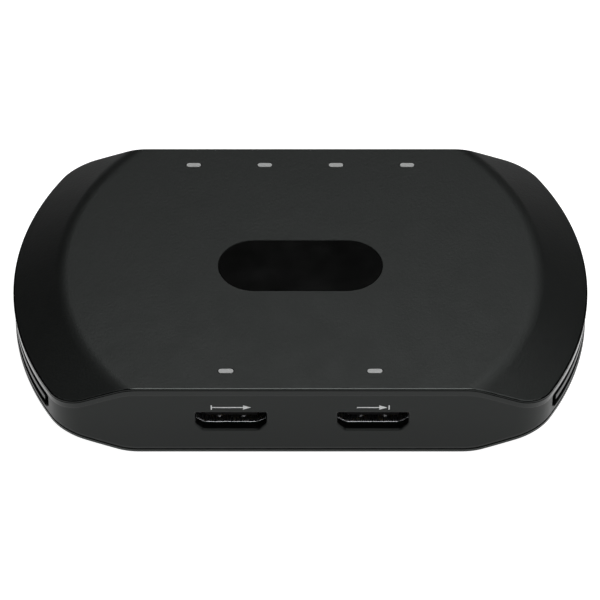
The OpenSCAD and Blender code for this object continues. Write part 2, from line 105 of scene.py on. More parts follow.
@dataclass(frozen=True)
class HousingForm:
    """Driving sizes of the housing and the formulas of its outline and slopes."""

    width: float
    depth: float
    height: float
    foot: float
    end_offset: float = 2.8
    corner_radius: float = 9.0
    wall: float = 2.0
    cover_thickness: float = 1.5
    cover_rim: float = 0.36
    base_thickness: float = 2.2
    base_rim: float = 0.7
    base_inset: float = 0.15
    bevel: float = 1.45
    face_in: float = 0.16
    nose_in: float = 0.12
    nose_height: float = 0.2
    lower_in: float = 0.3
    lip_in: float = 1.0
    seam: float = 0.17
    base_seam: float = 0.12
    play: float = 0.05
    wall_lift: float = 1.45
    wing: float = 10.7
    upper_slope: float = math.radians(25.3)
    lower_slope: float = math.radians(28.5)
    crease_radius: float = 7.0
    end_steps: int = 40
    corner_steps: int = 16
    run_steps: int = 64

    @classmethod
    def from_frame(cls) -> "HousingForm":
        """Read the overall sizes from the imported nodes."""
        low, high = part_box("mid_frame")
        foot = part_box("base_plate")[0].z
        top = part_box("top_cover")[1].z
        return cls((high.x - low.x) / MM, (high.y - low.y) / MM, (top - foot) / MM, foot / MM)

    @property
    def half_depth(self) -> float:
        """Distance of the front and rear walls from the middle."""
        return self.depth / 2

    @property
    def end_radius(self) -> float:
        """Radius of the end arcs, whose centres lie past the middle."""
        return self.width / 2 + self.end_offset

    @property
    def corner_angle(self) -> float:
        """Angle on the end arc at which the rounded corner starts."""
        reach = self.end_radius - self.corner_radius
        return math.asin((self.half_depth - self.corner_radius) / reach)

    @property
    def plate_inset(self) -> float:
        """Distance of the thick part of the cover and the base from the outline."""
        return self.lip_in + 2 * self.play

    @property
    def wall_face(self) -> float:
        """Distance of the outer face of the front and rear walls from the middle."""
        return self.half_depth - self.face_in

    def middle(self, node: str) -> Place:
        """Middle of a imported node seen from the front, as x and height."""
        low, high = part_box(node)
        return (low.x + high.x) / 2 / MM, (low.z + high.z) / 2 / MM - self.foot

    def outline(self) -> tuple[Array, Array]:
        """Closed outline seen from above, anticlockwise from the middle of the right end.

        A quarter is an arc of end_radius about (-end_offset, 0), an arc of corner_radius and a
        straight run. Its mirror images close the loop. Both arcs share their normal where they
        meet, so moving a point along its normal gives the outline of any inset.

        Returns:
            Points and outward unit normals, each (n, 2).
        """
        turn = self.corner_angle
        end = np.linspace(0, turn, self.end_steps, endpoint=False)
        corner = np.linspace(turn, math.pi / 2, self.corner_steps, endpoint=False)
        angle = np.concatenate([end, corner, np.full(self.run_steps, math.pi / 2)])
        normal = np.stack([np.cos(angle), np.sin(angle)], axis=1)
        reach = self.end_radius - self.corner_radius
        corner_at = np.array([reach * math.cos(turn) - self.end_offset, reach * math.sin(turn)])
        run = np.linspace(corner_at[0], 0, self.run_steps)
        bend = normal[self.end_steps:self.end_steps + self.corner_steps]
        points = np.concatenate([
            np.array([-self.end_offset, 0]) + self.end_radius * normal[:self.end_steps],
            corner_at + self.corner_radius * bend,
            np.stack([run, np.full(self.run_steps, self.half_depth)], axis=1),
        ])
        return self._four_quarters(points), self._four_quarters(normal)

    @staticmethod
    def _four_quarters(quarter: Array) -> Array:
        """Close a quarter of a loop with its mirror images, without doubled points."""
        across = quarter * [-1, 1]
        return np.concatenate([quarter[:-1], across[:0:-1], -quarter[:-1], -across[:0:-1]])

    def drop(self, plan: Array, slope: float) -> Array:
        """Depth of a sloped end below the flat.

        With r the distance from the centre of the end arc, the drop is 0 up to the crease, an arc
        of crease_radius across it and (r - crease) tan(slope) beyond it.

        Args:
            plan: Points seen from above, (..., 2).
            slope: Slope of the end, in radians.

        Returns:
            The drop at each point.
        """
        r = np.hypot(np.abs(plan[..., 0]) + self.end_offset, plan[..., 1])
        crease = self.end_radius - self.wing
        start = crease - self.crease_radius * math.tan(slope / 2)
        past = np.clip(r - start, 0, self.crease_radius * math.sin(slope))
        soft = self.crease_radius - np.sqrt(self.crease_radius ** 2 - past ** 2)
        straight = (r - crease) * math.tan(slope)
        return np.where(r - start < self.crease_radius * math.sin(slope), soft, straight)

    def outer(self, plan: Array, side: Side) -> Array:
        """Height of the outer face of the cover or the base at each plan point."""
        if side is Side.UP:
            return self.height - self.drop(plan, self.upper_slope)
        return self.drop(plan, self.lower_slope)


def raised(plan: Array, z: Array) -> Array:
    """Plan points, (..., 2), with their heights, (...), as points, (..., 3)."""
    return np.concatenate([plan, z[..., None]], axis=-1)


def placed(name: str, data: bpy.types.ID) -> Piece:
    """A new object in the scene, at the origin."""
    made = bpy.data.objects.new(name, data)
    bpy.context.scene.collection.objects.link(made)
    return made


def quads(rows: int, columns: int, close_rows: bool) -> Array:
    """Corners of the faces of a grid whose columns run round a loop.

    Args:
        rows: Number of rows.
        columns: Number of points in a row.
        close_rows: Whether the last row joins the first.

    Returns:
        Vertex numbers, (faces, 4).
    """
    strips = np.arange(rows if close_rows else rows - 1)
    i, j = np.meshgrid(strips, np.arange(columns), indexing="ij")
    here, above = i * columns, (i + 1) % rows * columns
    beside = (j + 1) % columns
    return np.stack([here + j, here + beside, above + beside, above + j], axis=-1).reshape(-1, 4)


@dataclass
class Solid:
    """Vertices in millimetres and the faces that join them."""

    points: Array
    faces: Faces

    @classmethod
    def grid(cls, grid: Array, close_rows: bool) -> "Solid":
        """A surface from a (rows, columns, 3) array whose columns run round a loop."""
        rows, columns = grid.shape[:2]
        return cls(grid.reshape(-1, 3), quads(rows, columns, close_rows).tolist())

    @classmethod
    def stack(cls, outlines: Sequence[Array]) -> "Solid":
        """A closed solid from outlines of (points, 3), with a flat cap on the first and last."""
        rings = np.stack(outlines)
        rows, columns = rings.shape[:2]
        caps = [list(range(columns))[::-1], list(range((rows - 1) * columns, rows * columns))]
        return cls(rings.reshape(-1, 3), quads(rows, columns, False).tolist() + caps)

    @classmethod
    def joined(cls, solids: Iterable["Solid"]) -> "Solid":
        """Several solids as one."""
        parts = list(solids)
        starts = np.cumsum([0] + [len(part.points) for part in parts[:-1]])
        faces = [[int(start) + v for v in face]
                 for start, part in zip(starts, parts) for face in part.faces]
        return cls(np.concatenate([part.points for part in parts]), faces)

    def mirrored(self) -> "Solid":
        """The same solid on the other side of the middle plane x = 0."""
        return Solid(self.points * [-1, 1, 1], [face[::-1] for face in self.faces])

    def piece(self, name: str, form: HousingForm, wear: Optional[Array] = None) -> Piece:
        """Put the solid into Blender, lifted by the feet, with its doubled points merged.

        Args:
            name: Name of the new object.
            form: Sizes of the housing.
            wear: How worn each point is, from 0 to 1, which the finish reads as an attribute.

        Returns:
            The new object, at the origin.
        """
        mesh = bpy.data.meshes.new(name)
        mesh.from_pydata(((self.points + [0, 0, form.foot]) * MM).tolist(), [], self.faces)
        if wear is not None:
            layer = mesh.attributes.new(WEAR, "FLOAT", "POINT")
            layer.data.foreach_set("value", np.ascontiguousarray(wear, dtype=np.float32).ravel())
        work = bmesh.new()
        work.from_mesh(mesh)
        bmesh.ops.remove_doubles(work, verts=work.verts, dist=MERGE_DISTANCE)
        bmesh.ops.dissolve_degenerate(work, edges=work.edges, dist=MERGE_DISTANCE)
        bmesh.ops.recalc_face_normals(work, faces=work.faces)
        work.to_mesh(mesh)
        work.free()
        smooth(mesh)
        return placed(name, mesh)


def smooth(mesh: bpy.types.Mesh) -> None:
    """Shade a mesh smooth, with its sharp edges kept."""
    mesh.polygons.foreach_set("use_smooth", np.ones(len(mesh.polygons), dtype=bool))
    mesh.set_sharp_from_angle(angle=SHARP_ANGLE)


def rounded_section(corners: Array, radii: Sequence[Any], steps: int = 5) -> Array:
    """Round the corners of a closed section that is carried along a path.

    Each corner V becomes (1 - t)^2 A + 2 t (1 - t) V + t^2 B, where A and B lie one radius from V
    towards the corners before and after it. A row just outside A and B keeps the flats flat when
    they are shaded smooth. A pair of radii rounds a corner further along one side than the other.

    Args:
        corners: Corners of the section at every step of the path, (k, n, 2).
        radii: Radius of each corner, or its two radii.
        steps: Faces across a rounded corner.

    Returns:
        The rounded section at every step of the path, (k * (steps + 3), n, 2).
    """
    pairs = [np.broadcast_to(np.asarray(r, dtype=float), 2) for r in radii]
    reach = np.stack(pairs)[..., None, None]
    after = np.roll(corners, -1, axis=0) - corners
    length = np.linalg.norm(after, axis=-1, keepdims=True)
    after /= length
    before = -np.roll(after, 1, axis=0)
    flat = length - reach[:, 1] - np.roll(reach[:, 0], -1, axis=0)
    guard = np.minimum(GUARD, GUARD_SHARE * flat)
    a, b = corners + reach[:, 0] * before, corners + reach[:, 1] * after
    t = np.linspace(0, 1, steps + 1)[None, :, None, None]
    arc = (1 - t) ** 2 * a[:, None] + 2 * t * (1 - t) * corners[:, None] + t ** 2 * b[:, None]
    first = (a + np.roll(guard, 1, axis=0) * before)[:, None]
    last = (b + guard * after)[:, None]
    return np.concatenate([first, arc, last], axis=1).reshape(-1, *corners.shape[1:])


def rounded_polygon(corners: Sequence[Place] | Array, radius: float, steps: int = 6) -> Array:
    """A flat outline with every corner rounded by the curve of rounded_section, without guard rows.

    Args:
        corners: Corners of the outline.
        radius: How far from a corner its curve starts and ends.
        steps: Faces across a rounded corner.

    Returns:
        Points of the outline, (k * (steps + 1), 2).
    """
    at = np.asarray(corners, dtype=float)[:, None]
    whole = rounded_section(at, [radius] * len(at), steps)
    return whole.reshape(len(at), steps + 3, 2)[:, 1:-1].reshape(-1, 2)


def pill(length: float, width: float, steps: int = 20) -> Array:
    """A flat outline with two straight sides and two round ends, (2 * (steps + 1), 2)."""
    turn = np.linspace(-math.pi / 2, math.pi / 2, steps + 1)
    half = width / 2
    end = np.stack([(length - width) / 2 + half * np.cos(turn), half * np.sin(turn)], axis=1)
    return np.concatenate([end, -end])


def circle(diameter: float, steps: int = 40) -> Array:
    """A flat round outline, (steps, 2)."""
    turn = np.linspace(0, 2 * math.pi, steps, endpoint=False)
    return diameter / 2 * np.stack([np.cos(turn), np.sin(turn)], axis=1)


def upright(outline: Array, x: float, y: float, z: float) -> Array:
    """Stand a flat outline upright, facing the front, about a point."""
    return np.stack([outline[:, 0] + x, np.full(len(outline), y), outline[:, 1] + z], axis=1)


def tower(outlines: Iterable[tuple[Array, float]], x: float, y: float) -> Solid:
    """A closed solid about an upright line, from level outlines that each have a height."""
    return Solid.stack([np.stack([flat[:, 0] + x, flat[:, 1] + y, np.full(len(flat), z)], axis=1)
                        for flat, z in outlines])


def towers(outline: Array, places: Iterable[Place], low: float, high: float) -> list[Solid]:
    """A straight post of one outline at each place."""
    return [tower([(outline, low), (outline, high)], x, y) for x, y in places]


def passage(outlines: Iterable[tuple[Array, float]], x: float, z: float) -> Solid:
    """A closed solid that runs from front to back, from upright outlines that each have a depth."""
    return Solid.stack([upright(outline, x, y, z) for outline, y in outlines])


def oblong(left: float, low: float, right: float, high: float) -> Array:
    """Corners of a flat rectangle, anticlockwise, (4, 2)."""
    return np.array([(left, low), (right, low), (right, high), (left, high)])


def combine(target: Piece, solids: Iterable[Solid], form: HousingForm, work: Work) -> None:
    """Cut solids from a piece, or add them to it.

    Args:
        target: The piece that is changed.
        solids: Closed solids.
        form: Sizes of the housing.
        work: Whether the solids cut or are added.
    """
    tool = Solid.joined(solids).piece("tool", form)
    step = target.modifiers.new("combine", "BOOLEAN")
    step.operation = work.value
    step.solver = "EXACT"
    step.object = tool
    graph = bpy.context.evaluated_depsgraph_get()
    mesh = bpy.data.meshes.new_from_object(target.evaluated_get(graph))
    target.modifiers.clear()
    old, target.data = target.data, mesh
    mesh.name = target.name
    bpy.data.meshes.remove(old)
    bpy.data.meshes.remove(tool.data)
    smooth(mesh)


class NodeGraph:
    """A tree of nodes, with short calls that add and join them."""

    def __init__(self, owner: Any) -> None:
        """Start from the tree of a new material or world."""
        owner.use_nodes = True
        self.tree = owner.node_tree

    def feed(self, socket: Socket, value: Any) -> None:
        """Link an output to an input, or set the input to a plain value."""
        if isinstance(value, Socket):
            self.tree.links.new(value, socket)
        else:
            socket.default_value = value

    def add(self, kind: str, inputs: Optional[dict[Any, Any]] = None, **values: Any) -> Any:
        """Add a node.

        Args:
            kind: Type of the node, without its leading ShaderNode.
            inputs: For each input, by name or number, its value or the output that feeds it.
            values: The node's own properties.

        Returns:
            The new node.
        """
        node = self.tree.nodes.new(f"ShaderNode{kind}")
        for key, value in values.items():
            setattr(node, key, value)
        for key, value in (inputs or {}).items():
            self.feed(node.inputs[key], value)
        return node


class ShaderGraph(NodeGraph):
    """The nodes of a material with one Principled shader."""

    spread = (0.3, 0.7)  # where a pattern's low and high values lie

    def __init__(self, name: str) -> None:
        """Start a new material."""
        self.material = bpy.data.materials.new(name)
        super().__init__(self.material)
        self.shader = self.tree.nodes["Principled BSDF"]
        self.place = self.add("TexCoord").outputs["Object"]

    def put(self, socket: str, value: Any) -> None:
        """Set one of the shader's own inputs, or link it."""
        self.feed(self.shader.inputs[socket], value)

    def noise(self, size: float, detail: float = 2.0, stretch: Optional[Colour] = None) -> Socket:
        """Cloudy values whose spots are about size millimetres wide.

        Args:
            size: Width of the spots.
            detail: How many finer layers they have.
            stretch: Scale along each axis, which draws the spots out to streaks.

        Returns:
            The values.
        """
        place = self.place
        if stretch is not None:
            place = self.add("Mapping", {"Scale": stretch, "Vector": place}).outputs["Vector"]
        node = self.add("TexNoise", {"Scale": 1 / (size * MM), "Detail": detail, "Vector": place})
        return node.outputs["Fac"]

    def shade(self, factor: Socket, dark: Colour, light: Colour) -> None:
        """Run the base colour from dark to light with a factor."""
        ramp = self.add("ValToRGB", {"Fac": factor})
        for stop, position, colour in zip(ramp.color_ramp.elements, self.spread, (dark, light)):
            stop.position, stop.color = position, (*colour, 1)
        self.put("Base Color", ramp.outputs["Color"])

    def vary_roughness(self, factor: Socket, low: float, high: float) -> None:
        """Run the roughness from low to high with a factor."""
        start, stop = self.spread
        node = self.add("MapRange", {
            "Value": factor, "From Min": start, "From Max": stop, "To Min": low, "To Max": high})
        self.put("Roughness", node.outputs["Result"])

    def polish_worn(self, roughness: float) -> None:
        """Run the roughness that is linked down to a smoother one where the piece is worn."""
        worn = self.add("Attribute", attribute_name=WEAR).outputs["Fac"]
        usual = self.shader.inputs["Roughness"].links[0].from_socket
        blend = self.add("Mix", {"Factor": worn, "A": usual, "B": roughness}, data_type="FLOAT")
        self.put("Roughness", blend.outputs["Result"])

    def bump(self, factor: Socket, height: float) -> None:
        """Raise the surface by a height in millimetres with a factor."""
        node = self.add("Bump", {"Distance": height * MM, "Strength": 1.0, "Height": factor})
        self.put("Normal", node.outputs["Normal"])


@dataclass(frozen=True)
class Plastic:
    """Moulded plastic with a fine grain."""

    name: str
    colour: Colour
    roughness: float
    specular: float = 0.5
    grain: float = 0.3
    grain_height: float = 0.004
    contrast: float = 0.12
    tint: Colour = (1.0, 1.0, 1.0)
    worn: Optional[float] = None
    grain_detail: float = 3.0
    mottle: float = 6.0
    mottle_gloss: float = 0.02

    def material(self) -> bpy.types.Material:
        """Build the finish: grain in colour and relief, mottled gloss and smoother worn edges."""
        graph = ShaderGraph(self.name)
        graph.put("Specular IOR Level", self.specular)
        graph.put("Specular Tint", (*self.tint, 1))
        grain = graph.noise(self.grain, self.grain_detail)
        dark, light = (tuple(c * (1 + sign * self.contrast) for c in self.colour)
                       for sign in (-1, 1))
        graph.shade(grain, dark, light)
        graph.vary_roughness(graph.noise(self.mottle), self.roughness - self.mottle_gloss,
                             self.roughness + self.mottle_gloss)
        if self.worn is not None:
            graph.polish_worn(self.worn)
        graph.bump(grain, self.grain_height)
        return graph.material


@dataclass(frozen=True)
class Metal:
    """Plated or brushed metal with drawn-out streaks."""

    name: str
    colour: Colour
    roughness: float
    stretch: Colour = (0.08, 1.0, 1.0)
    streak: float = 0.12
    dark: float = 0.9
    streak_gloss: float = 0.06
    relief: float = 0.002

    def material(self) -> bpy.types.Material:
        """Build the finish: streaks in colour and gloss."""
        graph = ShaderGraph(self.name)
        graph.put("Metallic", 1.0)
        streaks = graph.noise(self.streak, stretch=self.stretch)
        graph.shade(streaks, tuple(c * self.dark for c in self.colour), self.colour)
        graph.vary_roughness(streaks, self.roughness - self.streak_gloss,
                             self.roughness + self.streak_gloss)
        graph.bump(streaks, self.relief)
        return graph.material


@dataclass(frozen=True)
class BoardMask:
    """Solder mask over copper tracks."""

    name: str
    mask: Colour
    track: Colour
    specular: float = 0.5
    pitch: float = 4.0
    shift: float = 0.35
    line: float = 0.035
    line_soft: float = 0.1
    spot: float = 0.8
    gloss: tuple[float, float] = (0.28, 0.36)
    relief: float = 0.03

    def material(self) -> bpy.types.Material:
        """Build the finish: rows of tracks show as a lighter, slightly raised brick pattern."""
        graph = ShaderGraph(self.name)
        graph.put("Specular IOR Level", self.specular)
        tracks = graph.add("TexBrick", {
            "Vector": graph.place, "Scale": 1 / (self.pitch * MM), "Mortar Size": self.line,
            "Mortar Smooth": self.line_soft}, offset=self.shift).outputs["Fac"]
        graph.shade(tracks, self.mask, self.track)
        graph.vary_roughness(graph.noise(self.spot), *self.gloss)
        graph.bump(tracks, self.relief)
        return graph.material


class Finish(Enum):
    """Every finish on the box, named for what it covers.

    The values of a plastic are its colour, roughness, specular level, grain size, grain height,
    contrast, tint of its gloss and roughness where it is worn. Those of a metal are its colour,
    roughness and stretch.
    """

    COVER = Plastic("cover_grain", (0.0016, 0.0018, 0.0017), 0.45, 0.17, 0.55, 0.032, 0.3,
                    GREY_GREEN, 0.10)
    FRAME = Plastic("frame_satin", (0.0024, 0.0026, 0.0025), 0.34, 0.22, 0.5, 0.0015, 0.06,
                    GREY_GREEN, 0.13)
    BASE = Plastic("base_grain", (0.0050, 0.0056, 0.0053), 0.48, 0.45, 0.35, 0.006, 0.15,
                   GREY_GREEN, 0.2)
    INLAY = Plastic("inlay_polish", (0.0012, 0.0013, 0.0012), 0.10, 0.27, 2.0, 0.0004, 0.1)
    LIGHT_GUIDE = Plastic("light_guide_milky", (0.27, 0.276, 0.273), 0.35, 0.4, 0.8, 0.002, 0.06)
    EMITTER = Plastic("lamp_resin", (0.80, 0.77, 0.60), 0.25, 0.5, 0.6, 0.002, 0.05)
    BOARD = BoardMask("board_mask", (0.003, 0.011, 0.007), (0.008, 0.026, 0.015))
    CHIP = Plastic("chip_resin", (0.017, 0.018, 0.020), 0.55, 0.5, 0.25, 0.006, 0.15)
    COIL = Plastic("coil_ferrite", (0.07, 0.075, 0.08), 0.6, 0.5, 0.3, 0.012, 0.2)
    PAD = Plastic("pad_soft", (0.27, 0.37, 0.46), 0.7, 0.4, 0.6, 0.02, 0.1)
    SINK = Metal("sink_extruded", (0.60, 0.62, 0.64), 0.38)
    SHELL = Metal("shell_plated", (0.66, 0.67, 0.69), 0.28, (1.0, 0.1, 1.0))
    INSERT = Plastic("insert_black", (0.003, 0.003, 0.003), 0.6, 0.08, 0.3, 0.003, 0.1)
    CONTACT = Metal("contact_gilt", (0.83, 0.58, 0.20), 0.22, (1.0, 0.1, 1.0))
    JACK = Plastic("jack_black", (0.010, 0.010, 0.011), 0.42, 0.5, 0.3, 0.003, 0.1)
    PIN = Metal("pin_plated", (0.75, 0.76, 0.77), 0.2, (1.0, 0.1, 1.0))
    BUTTON = Plastic("button_red", (0.26, 0.014, 0.014), 0.4, 0.5, 0.4, 0.003, 0.08)
    SCREW = Metal("screw_zinc", (0.45, 0.46, 0.47), 0.35)
    FOOT = Plastic("foot_rubber", (0.011, 0.011, 0.011), 0.75, 0.35, 0.25, 0.012, 0.2)
    INK = Plastic("mark_ink", (0.86, 0.87, 0.87), 0.6, 0.3, 0.2, 0.001, 0.04)


class FinishBook:
    """The materials that have been built, one for each finish."""

    def __init__(self) -> None:
        """Start with no material built."""
        self._built: dict[Finish, bpy.types.Material] = {}

    def coat(self, piece: Piece, finish: Finish) -> None:
        """Give a piece one finish all over."""
        if finish not in self._built:
            self._built[finish] = finish.value.material()
        piece.data.materials.clear()
        piece.data.materials.append(self._built[finish])

    def coat_nodes(self, nodes: Nodes, names: dict[Finish, Sequence[str]]) -> None:
        """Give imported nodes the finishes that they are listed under, and report them."""
        for finish, group in names.items():
            for name in group:
                self.coat(nodes[name], finish)
                LOG.info("node %s: %s", name, finish.value.name)

    def seat(self, piece: Piece, finish: Finish, slot: str, *nodes: str) -> None:
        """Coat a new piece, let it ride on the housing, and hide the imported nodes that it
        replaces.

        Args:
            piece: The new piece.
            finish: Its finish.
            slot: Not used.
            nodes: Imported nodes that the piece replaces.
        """
        self.coat(piece, finish)
        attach(piece, HOUSING_BODY)
        if nodes:
            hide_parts(*nodes)
        LOG.info("piece %s: %d faces", piece.name, len(piece.data.polygons))


@dataclass
class Plate:
    """A housing shell that follows the sloped ends, with a thin rounded rim."""

    form: HousingForm
    side: Side
    inset: float
    thickness: float
    rim_thickness: float
    face_round: float = 0.42
    rim_round: float = 0.09
    edge_round: float = 0.03
    inner_round: float = 0.08
    guard: float = 0.15
    margin: float = 6.0
    spine: float = 34.0
    sparse_to: float = 0.34
    dense_from: float = 0.33
    sparse_rows: int = 10
    dense_rows: int = 46
    edge_rows: int = 25
    worn_rows: tuple[int, int] = (1, 15)

    @property
    def step(self) -> float:
        """Width of the thin rim."""
        return self.form.plate_inset - self.inset

    def outer(self, plan: Array) -> Array:
        """Height of the outer face over each plan point."""
        return self.form.outer(plan, self.side)

    def rim(self, plan: Array) -> Array:
        """Section of the rim at every step of the outline, from its outer corner to its inner foot.

        Each corner is the curve of rounded_section. The last two only close it and are left out.

        Args:
            plan: The outline moved in by the plate's inset, (n, 2).

        Returns:
            Inset past the rim and height, (rows, n, 2).
        """
        out = self.outer(plan)
        down = -self.side.value
        places = [(0.0, 0.0), (0.0, self.rim_thickness), (self.step, self.rim_thickness),
                  (self.step, self.thickness), (self.margin, self.thickness), (self.margin, 0.0)]
        corners = np.stack([np.stack([np.full_like(out, inward), out + down * deep], axis=-1)
                            for inward, deep in places])
        radii = [(self.face_round, self.rim_round), self.edge_round, *[self.inner_round] * 4]
        section = rounded_section(corners, radii)
        return section[1:(len(places) - 2) * len(section) // len(places) - 1]

    def face(self, edge: Array, normals: Array, start: float) -> Array:
        """Rows of a face, from a straight spine on the x axis out to a distance from the rim.

        Args:
            edge: The outline moved in by the plate's inset, (n, 2).
            normals: Outward normals of the outline, (n, 2).
            start: Distance of the last row from the rim.

        Returns:
            Points of the outer face, (rows, n, 3).
        """
        hold = edge - self.margin * normals
        across = np.clip(hold[:, 0], -self.spine, self.spine)
        heart = np.stack([across, np.zeros(len(hold))], axis=1)
        close = np.concatenate([np.linspace(1, self.sparse_to, self.sparse_rows),
                                np.linspace(self.dense_from, 0, self.dense_rows)])[:, None, None]
        steps = np.linspace(self.margin, start, self.edge_rows + 1)[1:, None, None]
        plan = np.concatenate([hold * (1 - close) + heart * close, edge - steps * normals])
        return raised(plan, self.outer(plan))

    def grid(self) -> Array:
        """Rows of points from the spine over the outer face, round the rim and back inside.

        On a face the rows move in from the rim by even steps, then close in on the spine, and their
        heights follow the slope formula. Round the rim they follow the rounded section, whose
        heights are corrected for the slope between its points and the rim.

        Returns:
            Points, (rows, n, 3).
        """
        points, normals = self.form.outline()
        edge = points - self.inset * normals
        outer = self.face(edge, normals, self.face_round + self.guard)
        section = self.rim(edge)
        rim_plan = edge - section[..., :1] * normals
        lean = self.outer(rim_plan) - self.outer(edge)
        rim = raised(rim_plan, section[..., 1] + lean)
        inner = self.face(edge, normals, self.step + self.inner_round + self.guard)[::-1]
        return np.concatenate([outer, rim, inner - [0, 0, self.side.value * self.thickness]])

    def piece(self, name: str) -> Piece:
        """The closed shell, worn round its outer edge."""
        grid = self.grid()
        wear = np.zeros(grid.shape[:2])
        first = self.sparse_rows + self.dense_rows + self.edge_rows
        wear[first:][slice(*self.worn_rows)] = 1
        return Solid.grid(grid, False).piece(name, self.form, wear)


@dataclass
class Housing:
    """Cover, side band and base, with every opening cut."""

    form: HousingForm
    book: FinishBook
    lip: float = 0.12
    light_length: float = 3.2
    light_width: float = 1.25
    rear_pitch: float = 16.0
    rear_light_in: float = 5.4
    front_light_x: float = 15.9
    front_light_in: float = 5.55
    inlay_length: float = 36.0
    inlay_width: float = 16.0
    inlay_depth: float = 0.6
    boss_top: float = 5.6
    boss_width: float = 8.0
    boss_step: float = 0.5
    screw_width: float = 2.6
    screw_play: float = 0.2
    screw_clear: float = 3.0
    head_width: float = 5.2
    head_seat: float = 2.9
    foot_reach: float = 5.0
    foot_width: float = 10.1
    foot_depth: float = 0.7
    post_width: float = 5.4
    post_screw_reach: float = 2.1
    post_bore: float = 2.2
    post_bore_depth: float = 2.8
    bore_steps: int = 24
    sink: float = 0.4
    face_round: float = 0.12
    edge_round: float = 0.05
    nose_round: float = 0.03
    strip_round: float = 0.5
    lip_round: float = 0.1
    strip_rows: tuple[int, int] = (19, 32)

    def light_places(self) -> list[Place]:
        """Middle of each light window."""
        rear = self.form.half_depth - self.rear_light_in
        front = -self.form.half_depth + self.front_light_in
        row = [(k * self.rear_pitch, rear) for k in (-1.5, -0.5, 0.5, 1.5)]
        return row + [(side * self.front_light_x, front) for side in (-1, 1)]

    @staticmethod
    def post_places(node: str, reach: float) -> list[Place]:
        """Middle of each post, from the box and the radius of the fasteners that stand in it."""
        _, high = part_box(node)
        x, y = high.x / MM - reach, high.y / MM - reach
        return [(sx * x, sy * y) for sx in (-1, 1) for sy in (-1, 1)]

    def well(self, outline: Array, place: Place, bottom: float, top: float) -> Solid:
        """A level cutter that flares at the face it comes out of."""
        flared = outline * (1 + 2 * self.lip / np.ptp(outline, axis=0))
        return tower([(outline, bottom), (outline, top - self.lip), (flared, top),
                      (flared, top + PAST)], *place)

    def cover(self) -> None:
        """Top shell with its screw bosses, light windows and inlay recess."""
        form = self.form
        plate = Plate(form, Side.UP, 0.0, form.cover_thickness, form.cover_rim).piece("cover_shell")
        ceiling = form.height - form.cover_thickness
        places = self.post_places("rubber_feet", self.foot_reach)
        boss = circle(self.boss_width - 2 * self.boss_step)
        combine(plate, towers(boss, places, self.boss_top, ceiling + self.sink), form, Work.ADD)
        bore = circle(self.screw_width + self.screw_play, self.bore_steps)
        cuts = towers(bore, places, self.boss_top - PAST, ceiling - self.screw_clear)
        window = pill(self.light_length + 2 * form.play, self.light_width + 2 * form.play)
        cuts += [self.well(window, place, ceiling - PAST, form.height)
                 for place in self.light_places()]
        recess = pill(self.inlay_length, self.inlay_width)
        cuts.append(self.well(recess, (0, 0), form.height - self.inlay_depth, form.height))
        combine(plate, cuts, form, Work.CUT)
        self.book.seat(plate, Finish.COVER, "cover", "top_cover")

    def band_section(self) -> Array:
        """Section of the side band at every step of the outline.

        Its upper corners follow the cover's slope and its lower corners the base's. Clockwise from
        the foot of the outer face: outer face, soft nose, strip that leans out to its top, lip,
        cover ledge, inner face, base ledge, lip and lower bevel.

        Returns:
            Inset and height, (rows, n, 2).
        """
        form = self.form
        points, normals = form.outline()
        lip_top = form.cover_rim + form.seam
        lip_foot = form.base_rim + form.base_seam
        cover_seat = form.cover_thickness + form.play
        base_seat = form.base_thickness + form.play
        places = [
            (form.face_in, Side.DOWN, form.wall_lift),
            (form.face_in, Side.UP, lip_top + form.bevel + form.nose_height),
            (form.nose_in, Side.UP, lip_top + form.bevel), (0.0, Side.UP, lip_top),
            (form.lip_in, Side.UP, lip_top), (form.lip_in, Side.UP, cover_seat),
            (form.wall, Side.UP, cover_seat), (form.wall, Side.DOWN, base_seat),
            (form.lip_in, Side.DOWN, base_seat), (form.lip_in, Side.DOWN, lip_foot),
            (form.lower_in, Side.DOWN, lip_foot),
        ]
        corners = []
        for inset, side, away in places:
            plan = points - inset * normals
            z = form.outer(plan, side) - side.value * away
            corners.append(np.stack([np.full_like(z, inset), z], axis=-1))
        radii = [self.face_round, (self.edge_round, self.nose_round),
                 (self.edge_round, self.strip_round), self.lip_round]
        radii += [self.edge_round] * (len(places) - len(radii))
        return rounded_section(np.stack(corners), radii)

    def band(self, cuts: Iterable[Solid]) -> None:
        """Side band, worn on its strip, with the given solids cut from it."""
        points, normals = self.form.outline()
        section = self.band_section()
        grid = raised(points - section[..., :1] * normals, section[..., 1])
        wear = np.zeros(grid.shape[:2])
        wear[slice(*self.strip_rows)] = 1
        piece = Solid.grid(grid, True).piece("side_band", self.form, wear)
        combine(piece, cuts, self.form, Work.CUT)
        self.book.seat(piece, Finish.FRAME, "frame", "mid_frame")

    def base(self) -> None:
        """Bottom shell with its posts, foot recesses and screw holes."""
        form = self.form
        shell = Plate(form, Side.DOWN, form.base_inset, form.base_thickness, form.base_rim)
        plate = shell.piece("base_shell")
        inside = form.base_thickness - self.sink
        board_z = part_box("main_board")[0].z / MM - form.foot
        case = self.post_places("rubber_feet", self.foot_reach)
        board = self.post_places("board_screws", self.post_screw_reach)
        posts = towers(circle(self.boss_width), case, inside, self.boss_top)
        posts += towers(circle(self.post_width), board, inside, board_z)
        combine(plate, posts, form, Work.ADD)
        bore = circle(self.post_bore, self.bore_steps)
        cuts = [self.foot_cut(place) for place in case]
        cuts += towers(bore, board, board_z - self.post_bore_depth, board_z + PAST)
        combine(plate, cuts, form, Work.CUT)
        self.book.seat(plate, Finish.BASE, "base", "base_plate")

